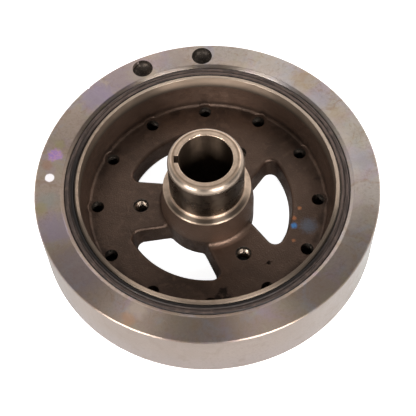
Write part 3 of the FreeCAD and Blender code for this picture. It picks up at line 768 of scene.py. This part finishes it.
def rubber_finish():
    """Rubber strip: matt and dusty, with ribs that run round it, painted shade near by, at its
    edges and in its valleys, and painted light far off.
    """
    finish = Finish("dusty_rubber", colours().rubber)
    dust = finish.noise(0.3, 4.0)
    finish.start(finish.band(dust, 0.5, 0.75), (1.0, 1.0), (2.2, 1.06))
    round_strip = finish.times(finish.angle, 7.0)
    sweep = finish.combine(finish.times(finish.radius, 2.3), round_strip, 0.0)
    ribs = finish.noise(1.0, 5.0, sweep, 0.72)
    far = finish.far(*RUBBER_FAR)
    # Painted light: the ribs are paler far off.
    wear_and_light = finish.math("MULTIPLY_ADD", far, 0.4, 0.45)
    finish.tone(finish.times(finish.band(ribs, 0.45, 0.62), wear_and_light), 3.3)
    finish.tone(finish.band(ribs, 0.36, 0.46, 0.8, 0.0), 0.3)
    # Painted shadow of the rim on the inner side of the strip, near by.
    inner = finish.band(finish.radius, RUBBER_CREST + 0.4, RUBBER_CREST + 1.4, 0.95, 0.0)
    finish.tone(finish.times(inner, finish.math("SUBTRACT", 1.0, far)), 0.12, 1.1)
    # Painted highlight on the first bead's crest, far off.
    crest_highlight = finish.between(finish.radius, RUBBER_CREST - 0.3, RUBBER_CREST + 0.3, 0.3)
    finish.tone(finish.times(crest_highlight, far, 0.6), 3.4, 1.05)
    # Painted shade in the valleys between the beads and in the gaps to the rim and the ring.
    for shade_line, share in RUBBER_SHADE_LINES:
        dark = finish.between(finish.radius, shade_line - 0.3, shade_line + 0.3, 0.3)
        finish.tone(finish.times(dark, share), 0.2)
    finish.bump(finish.math("ADD", finish.times(ribs, 3.0), finish.noise(2.5, 3.0)), 0.35, 0.1)
    finish.put(finish.surface, Specular_IOR_Level=0.25)
    return finish.done(0.0, finish.band(dust, 0.3, 0.7, 0.38, 0.55))


def deselect_all():
    for item in bpy.context.view_layer.objects:
        item.select_set(False)


def edit_copy(node, name):
    """Copy of a CAD node's mesh with its loose triangles joined, selected and active."""
    deselect_all()
    piece = frame["nodes"][node].copy()
    piece.data = piece.data.copy()
    piece.name = name
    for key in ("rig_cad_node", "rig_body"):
        if key in piece:
            del piece[key]
    piece.parent = None
    bpy.context.scene.collection.objects.link(piece)
    piece.select_set(True)
    bpy.context.view_layer.objects.active = piece
    bpy.ops.object.mode_set(mode="EDIT")
    bpy.ops.mesh.select_all(action="SELECT")
    bpy.ops.mesh.remove_doubles(threshold=MERGE_DISTANCE)
    bpy.ops.object.mode_set(mode="OBJECT")
    return piece


def smooth_cad_faces(piece, angle):
    """Smooth shading that lets the large faces set the normals where a fillet meets them."""
    bpy.ops.object.shade_smooth_by_angle(angle=math.radians(angle))
    bpy.ops.object.modifier_add(type="WEIGHTED_NORMAL")
    modifier = bpy.context.active_object.modifiers[-1]
    modifier.mode = "FACE_AREA"
    modifier.keep_sharp = True
    modifier.weight = NORMAL_WEIGHT
    bpy.ops.object.modifier_apply(modifier=modifier.name)
    level_flat_faces(piece.data, math.cos(math.radians(angle)))


def level_flat_faces(mesh, limit):
    """Give the corners round each flat face the face's own normal, so that it shades flat."""
    flat = flat_regions(mesh)
    normals = [corner.vector.copy() for corner in mesh.corner_normals]
    at_vertex = {}
    for face in mesh.polygons:
        if face.index in flat:
            for vertex in face.vertices:
                at_vertex.setdefault(vertex, []).append(face.normal)
    for face in mesh.polygons:
        for corner in face.loop_indices:
            for normal in at_vertex.get(mesh.loops[corner].vertex_index, ()):
                if face.index in flat:
                    normals[corner] = face.normal
                elif normal.dot(face.normal) > limit:
                    normals[corner] = normal
    mesh.normals_split_custom_set(normals)


def flat_regions(mesh):
    """Numbers of the faces that lie in one plane with many of their neighbours."""
    table = bmesh.new()
    table.from_mesh(mesh)
    found = set()
    seen = set()
    for start in table.faces:
        if start.index not in seen:
            region = flat_region(start)
            seen |= region
            if len(region) >= FLAT_COUNT:
                found |= region
    table.free()
    return found


def flat_region(start):
    """Numbers of the faces that join a face in its plane."""
    region = {start.index}
    front = [start]
    while front:
        for side in front.pop().edges:
            for face in side.link_faces:
                if face.index not in region and face.normal.dot(start.normal) > FLAT_LIMIT:
                    region.add(face.index)
                    front.append(face)
    return region


# How far from a radius or height the centre of a face that belongs there may lie.
WALL_SLACK = 0.1
LEVEL_SLACK = 0.02
# The same for the ends of an edge that is to be eased.
EDGE_RADIUS_SLACK = 0.03
EDGE_HEIGHT_SLACK = 0.01
# The keyway and the washer seat lie within this of the bore's wall, and the end face above it.
BORE_REACH = 3.5
BORE_EDGE = 0.6
HOLE_EDGE = 0.6
OUTSIDE_EDGE = 0.4
# Height of a face's normal below which it is a wall, and above which it is level.
WALL_NORMAL = 0.5
LEVEL_NORMAL = 0.99


def radius_and_height(point):
    return math.hypot(point.x, point.y) * PER_METRE, point.z * PER_METRE


def hub_slot(face):
    """Number of the finish for a face of the hub, in the order of finish_hub."""
    radius, height = radius_and_height(face.center)
    casting, end, shoulder, rim, bored, journal, bore, drilled = range(8)
    if radius < BORE_RADIUS + BORE_REACH and height < SNOUT_TOP - BORE_EDGE:
        return bore
    if height > SHOULDER_TOP and radius < JOURNAL_RADIUS + WALL_SLACK:
        inside = radius < JOURNAL_RADIUS - WALL_SLACK / 2
        return end if height > SNOUT_TOP - LEAD_IN_DEPTH and inside else journal
    if height > SHOULDER_EDGE and radius < SHOULDER_RADIUS:
        return shoulder
    if radius > BORED_RADIUS - WALL_SLACK and height > RING_TOP - LEVEL_SLACK:
        return rim
    if radius > BORED_RADIUS - WALL_SLACK and height > RING_TOP - BORED_RIM_DEPTH:
        return bored
    if height < HUB_FRONT + WALL_SLACK * 2 or radius > RIM_RADIUS - WALL_SLACK * 2:
        return bored
    circles = ((WEIGHT_HOLES, WEIGHT_BEARING), (PULLEY_HOLES, PULLEY_BEARING))
    return drilled if any(in_hole(face.center, *circle) for circle in circles) else casting


def in_hole(centre, holes, first):
    """Whether a point lies on the wall or floor of one of the holes of a circle."""
    if centre.z * PER_METRE > WEB_TOP - WALL_SLACK / 2:
        return False
    step = 360.0 / holes["count"]
    bearing = math.degrees(math.atan2(centre.y, centre.x)) - first
    nearest = math.radians(round(bearing / step) * step + first)
    circle = holes["pcd_mm"] / 2
    across = centre.x * PER_METRE - circle * math.cos(nearest)
    along = centre.y * PER_METRE - circle * math.sin(nearest)
    return math.hypot(across, along) < holes["hole_r_mm"] + HOLE_EDGE


def ring_slot(face):
    """Number of the finish for a face of the ring: rear and front faces, outside or drilled."""
    radius, _ = radius_and_height(face.center)
    faced, outside, drilled = range(3)
    if radius > RING_RADIUS - OUTSIDE_EDGE and abs(face.normal.z) < WALL_NORMAL:
        return outside
    for x, y in BALANCE_HOLES:
        reach = math.hypot(face.center.x * PER_METRE - x, face.center.y * PER_METRE - y)
        if reach < BALANCE_HOLE_RADIUS and abs(face.normal.z) < LEVEL_NORMAL:
            return drilled
    return faced


def ease_edges(piece, rims):
    """Break the sharp circular edges given by radius and height, selected by their place."""
    bpy.ops.object.mode_set(mode="EDIT")
    bpy.ops.mesh.select_mode(type="EDGE")
    bpy.ops.mesh.select_all(action="DESELECT")
    table = bmesh.from_edit_mesh(piece.data)
    for edge in table.edges:
        edge.select = any(all(on_circle(end.co, *rim) for end in edge.verts) for rim in rims)
    table.select_flush_mode()
    bmesh.update_edit_mesh(piece.data)
    bpy.ops.mesh.bevel(
        offset=EASED_EDGE / PER_METRE, segments=EASED_SEGMENTS, affect="EDGES", clamp_overlap=True)
    bpy.ops.object.mode_set(mode="OBJECT")


def on_circle(point, radius, height):
    reach, level = radius_and_height(point)
    return abs(reach - radius) < EDGE_RADIUS_SLACK and abs(level - height) < EDGE_HEIGHT_SLACK


def dress_copy(node, name, finishes, choose):
    """Put a merged copy in place of a CAD node, with a finish chosen for each face."""
    piece = edit_copy(node, name)
    piece.data.materials.clear()
    for made in finishes:
        piece.data.materials.append(made)
    for face in piece.data.polygons:
        face.material_index = choose(face)
    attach(piece, "root")
    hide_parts(node)
    return piece


class BALANCER_OT_finish_hub(bpy.types.Operator):
    """Give the cast, turned, ground and drilled faces of the hub their finishes"""

    bl_idname = "balancer.finish_hub"
    bl_label = "Finish hub"

    def execute(self, context):
        finishes = (
            casting_finish(),
            faced_finish("faced_end", 0.5, 0.85),
            faced_finish("faced_shoulder", 0.93, 0.72),
            faced_finish("faced_rim", 0.9, 0.58),
            bored_finish(),
            journal_finish(),
            bore_finish(),
            drill_finish(),
        )
        piece = dress_copy("hub", "hub_casting", finishes, hub_slot)
        ease_edges(piece, ((BORED_RADIUS, RING_TOP),))
        smooth_cad_faces(piece, HUB_SMOOTH_ANGLE)
        return {"FINISHED"}


def thread_ridge(radius, low, high, pitch):
    """One helical ridge on the wall of a tapped hole whose axis is the frame's Z."""
    deselect_all()
    steps = bpy.context.scene.balancer_threads.steps
    across = THREAD_RISE / PER_METRE / RIDGE_SHARE
    tip = (radius - THREAD_RISE) / PER_METRE
    bpy.ops.mesh.primitive_circle_add(
        vertices=3, radius=across, location=(tip + across, 0.0, low / PER_METRE),
        rotation=(0.0, math.pi / 2, math.pi / 2))
    bpy.ops.object.transform_apply(location=False, rotation=True, scale=False)
    width = math.sqrt(3.0) * across
    bpy.ops.transform.resize(value=(1.0, 1.0, THREAD_WIDTH * pitch / width))
    bpy.ops.object.transform_apply(location=True, rotation=True, scale=True)
    bpy.ops.object.modifier_add(type="SCREW")
    screw = bpy.context.active_object.modifiers[-1]
    screw.screw_offset = pitch
    screw.iterations = int((high - low) / PER_METRE / pitch)
    screw.steps = steps
    bpy.ops.object.modifier_apply(modifier=screw.name)
    bpy.ops.object.mode_set(mode="EDIT")
    bpy.ops.mesh.select_mode(type="EDGE")
    bpy.ops.mesh.select_all(action="SELECT")
    bpy.ops.mesh.remove_doubles(threshold=RIDGE_MERGE)
    bpy.ops.mesh.fill_holes(sides=3)
    bpy.ops.mesh.select_all(action="SELECT")
    bpy.ops.mesh.normals_make_consistent(inside=False)
    bpy.ops.object.mode_set(mode="OBJECT")
    return bpy.context.active_object


def tap_holes(name, material, holes, first, ridge):
    """Copy the ridge into each hole of a circle and join the copies in one piece."""
    copies = [ridge]
    while len(copies) < holes["count"]:
        deselect_all()
        ridge.select_set(True)
        bpy.ops.object.duplicate()
        copies.append(bpy.context.selected_objects[0])
    for number, copy in enumerate(copies):
        bearing = math.radians(first + number * 360.0 / holes["count"])
        circle = holes["pcd_mm"] / 2 / PER_METRE
        deselect_all()
        copy.select_set(True)
        bpy.ops.transform.translate(
            value=(circle * math.cos(bearing), circle * math.sin(bearing), 0.0))
        bpy.ops.object.transform_apply(location=True, rotation=True, scale=True)
    for copy in copies:
        copy.select_set(True)
    bpy.context.view_layer.objects.active = ridge
    bpy.ops.object.join()
    ridge.name = name
    ridge.data.materials.append(material)
    bpy.ops.object.shade_smooth_by_angle(angle=math.radians(HUB_SMOOTH_ANGLE))
    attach(ridge, "root")


class BALANCER_OT_tap_holes(bpy.types.Operator):
    """Cut the threads of the holes round the web and of the pulley holes"""

    bl_idname = "balancer.tap_holes"
    bl_label = "Tap holes"

    def execute(self, context):
        pitches = context.scene.balancer_threads
        high = WEB_TOP - THREAD_END
        bright = tap_finish()
        ridge = thread_ridge(
            PULLEY_HOLES["hole_r_mm"], HUB_FRONT + THREAD_END, high, pitches.pulley_pitch)
        tap_holes("pulley_threads", bright, PULLEY_HOLES, PULLEY_BEARING, ridge)
        dark = bpy.data.materials["drilled_iron"]
        ridge = thread_ridge(
            WEIGHT_HOLES["hole_r_mm"], WEB_TOP - WEIGHT_THREAD_DEPTH, high, pitches.weight_pitch)
        tap_holes("weight_threads", dark, WEIGHT_HOLES, WEIGHT_BEARING, ridge)
        return {"FINISHED"}


class BALANCER_OT_finish_rubber(bpy.types.Operator):
    """Give the rubber strip its finish"""

    bl_idname = "balancer.finish_rubber"
    bl_label = "Finish rubber"

    def execute(self, context):
        rubber = rubber_finish()
        for slot in frame["nodes"]["rubber_ring"].material_slots:
            slot.material = rubber
        return {"FINISHED"}


class BALANCER_OT_finish_ring(bpy.types.Operator):
    """Give the inertia ring its finish"""

    bl_idname = "balancer.finish_ring"
    bl_label = "Finish ring"

    def execute(self, context):
        finishes = (ring_finish(), ring_side_finish(), drill_finish())
        piece = dress_copy("inertia_ring", "turned_ring", finishes, ring_slot)
        ease_edges(piece, ((RING_LIP, RING_TOP), (RING_SEAT, RING_TOP - RING_LIP_DEPTH)))
        smooth_cad_faces(piece, RING_SMOOTH_ANGLE)
        return {"FINISHED"}


# The studio, in metres.
WHITE = (1.0, 1.0, 1.0, 1.0)
FLOOR_SIZE = 6.0
FLOOR_GAP = 0.0002
FLOOR_COLOUR = (0.86, 0.86, 0.86, 1.0)
FLOOR_ROUGHNESS = 0.9
FLOOR_LIFT = 0.9
# The floor under the pulley holes lies in the shadow of the spokes, for the camera too.
HOLE_SHADOWS = ((-0.0411, 0.0075, 0.0), (0.0206, -0.0282, 0.0))
HOLE_SHADOW_EDGE = (0.006, 0.009)
# The floor under the part stays in its shadow in what the metal mirrors.
PART_SHADOW = (0.0, 0.0, 0.0)
PART_SHADOW_EDGE = (0.07, 0.1)
# Soft lamps: bearing and height angle in degrees, for the back lamps the width, and the share of
# the power.
LAMP_SIZE = 0.45
FRONT_LAMP_DISTANCE = 1.1
FRONT_LAMPS = ((229.0, 31.0, 0.95), (297.5, 32.0, 1.05))
BACK_LAMP_DISTANCE = 0.6
BACK_LAMPS = ((66.0, 36.0, 1.1, 0.24), (132.0, 38.0, 0.4, 0.042))
# Heights of a direction, from 0 level to 1 overhead, and the share of the sky left there.
SKY_FADE = (0.15, 0.75)
SKY_OVERHEAD = 0.15
BACKDROP_FADE = (0.2, 0.3)


class BALANCER_OT_set_studio(bpy.types.Operator):
    """Set the floor, the lamps, the light from all round and the camera"""

    bl_idname = "balancer.set_studio"
    bl_label = "Set studio"

    def execute(self, context):
        studio = context.scene.balancer_studio
        add_floor()
        set_sky(studio.sky_level)
        for bearing, height, share in FRONT_LAMPS:
            place = pointing(bearing, height, FRONT_LAMP_DISTANCE)
            add_lamp(place, studio.lamp_power * share, LAMP_SIZE)
        for bearing, height, width, share in BACK_LAMPS:
            place = pointing(bearing, height, BACK_LAMP_DISTANCE)
            add_lamp(place, studio.lamp_power * share, width)
        add_camera(studio)
        context.scene.view_settings.view_transform = "Standard"
        return {"FINISHED"}


def pointing(bearing, height, distance):
    """A point at a bearing and height angle, in degrees, seen from the origin."""
    flat = math.cos(math.radians(height)) * distance
    east = flat * math.cos(math.radians(bearing))
    north = flat * math.sin(math.radians(bearing))
    return Vector((east, north, math.sin(math.radians(height)) * distance))


def add_lamp(place, power, width):
    """Soft lamp that faces the part and isn't seen itself."""
    lamp = bpy.data.lights.new("soft_lamp", "AREA")
    lamp.shape = "RECTANGLE"
    lamp.size = width
    lamp.size_y = LAMP_SIZE
    lamp.energy = power
    holder = bpy.data.objects.new(lamp.name, lamp)
    holder.location = place
    holder.rotation_euler = holder.location.to_track_quat("Z", "Y").to_euler()
    holder.visible_camera = False
    bpy.context.scene.collection.objects.link(holder)


def clear_of(nodes, place, edge):
    """Zero near a point of the floor and one beyond it, for the part's shadow there."""
    coordinates = nodes.node("ShaderNodeTexCoord")
    reach = nodes.distance(coordinates.outputs["Object"], place)
    return nodes.band(reach, *edge, step="LINEAR")


def add_floor():
    """Large white floor that keeps the part's shadow and shows white to the camera."""
    deselect_all()
    bpy.ops.mesh.primitive_plane_add(size=FLOOR_SIZE, location=(0, 0, -FLOOR_GAP))
    floor = bpy.context.active_object
    floor.name = "floor"
    material = bpy.data.materials.new("white_floor")
    material.use_nodes = True
    nodes = Nodes(material.node_tree)
    surface = nodes.tree.nodes["Principled BSDF"]
    nodes.put(surface, Base_Color=FLOOR_COLOUR, Roughness=FLOOR_ROUGHNESS, Emission_Color=WHITE)
    path = nodes.node("ShaderNodeLightPath").outputs
    seen = path["Is Camera Ray"]
    for place in HOLE_SHADOWS:
        seen = nodes.times(seen, clear_of(nodes, place, HOLE_SHADOW_EDGE))
    mirrored = nodes.math("MAXIMUM", path["Is Glossy Ray"], path["Is Transmission Ray"])
    mirrored = nodes.times(mirrored, clear_of(nodes, PART_SHADOW, PART_SHADOW_EDGE))
    lift = nodes.times(nodes.math("MAXIMUM", seen, mirrored), FLOOR_LIFT)
    nodes.put(surface, Emission_Strength=lift)
    floor.data.materials.append(material)


def set_sky(level):
    """Even light that is weaker overhead, with a white backdrop low round the part."""
    world = bpy.data.worlds.new("studio")
    bpy.context.scene.world = world
    world.use_nodes = True
    nodes = Nodes(world.node_tree)
    coordinates = nodes.node("ShaderNodeTexCoord")
    separate = nodes.node("ShaderNodeSeparateXYZ")
    nodes.link(coordinates.outputs["Generated"], separate.inputs[0])
    up = separate.outputs["Z"]
    fade = nodes.band(up, *SKY_FADE, level, level * SKY_OVERHEAD)
    backdrop = nodes.band(up, *BACKDROP_FADE, 1.0, 0.0)
    path = nodes.node("ShaderNodeLightPath").outputs
    shown = path["Is Camera Ray"]
    for kind in ("Is Glossy Ray", "Is Transmission Ray"):
        shown = nodes.math("MAXIMUM", shown, path[kind])
    pick = nodes.node("ShaderNodeMix", data_type="FLOAT")
    nodes.link(shown, pick.inputs[0])
    nodes.link(fade, pick.inputs[2])
    nodes.link(nodes.math("MAXIMUM", fade, backdrop), pick.inputs[3])
    nodes.put(nodes.tree.nodes["Background"], Color=WHITE, Strength=pick.outputs[0])


def add_camera(studio):
    """Camera at the photograph's angle, aimed at the ring's rear face."""
    camera = bpy.data.cameras.new("camera")
    camera.lens = studio.camera_lens
    holder = bpy.data.objects.new("camera", camera)
    outward = Vector((math.cos(studio.camera_bearing), math.sin(studio.camera_bearing), 0.0))
    aim = outward * studio.aim_offset + Vector((0, 0, RING_TOP / PER_METRE))
    lift = math.sin(studio.camera_pitch) * studio.camera_distance
    holder.location = aim + outward * math.cos(studio.camera_pitch) * studio.camera_distance
    holder.location.z += lift
    facing = (aim - holder.location).to_track_quat("-Z", "Y")
    holder.rotation_mode = "QUATERNION"
    holder.rotation_quaternion = facing @ Quaternion((0, 0, 1), studio.camera_roll)
    bpy.context.scene.collection.objects.link(holder)
    bpy.context.scene.camera = holder


class BALANCER_PT_sidebar(bpy.types.Panel):
    """Steps and sizes of the balancer's finish"""

    bl_idname = "BALANCER_PT_sidebar"
    bl_label = "Harmonic balancer"
    bl_space_type = "VIEW_3D"
    bl_region_type = "UI"
    bl_category = "Balancer"

    def draw(self, context):
        for step in STEPS:
            self.layout.operator(step.bl_idname)
        for name, group in GROUPS.items():
            box = self.layout.box()
            for key in group.__annotations__:
                box.prop(getattr(context.scene, name), key)


GROUPS = {
    "balancer_colours": BalancerColours,
    "balancer_studio": BalancerStudio,
    "balancer_threads": BalancerThreads,
}
STEPS = (
    BALANCER_OT_finish_hub,
    BALANCER_OT_tap_holes,
    BALANCER_OT_finish_rubber,
    BALANCER_OT_finish_ring,
    BALANCER_OT_set_studio,
)


def register():
    for group in GROUPS.values():
        bpy.utils.register_class(group)
    for step in STEPS:
        bpy.utils.register_class(step)
    bpy.utils.register_class(BALANCER_PT_sidebar)
    for name, group in GROUPS.items():
        setattr(bpy.types.Scene, name, PointerProperty(type=group))


def unregister():
    for name in GROUPS:
        delattr(bpy.types.Scene, name)
    bpy.utils.unregister_class(BALANCER_PT_sidebar)
    for step in reversed(STEPS):
        bpy.utils.unregister_class(step)
    for group in reversed(GROUPS.values()):
        bpy.utils.unregister_class(group)


def main():
    register()
    bpy.ops.balancer.finish_hub()
    bpy.ops.balancer.tap_holes()
    bpy.ops.balancer.finish_rubber()
    bpy.ops.balancer.finish_ring()
    bpy.ops.balancer.set_studio()


if __name__ == "__main__":
    main()
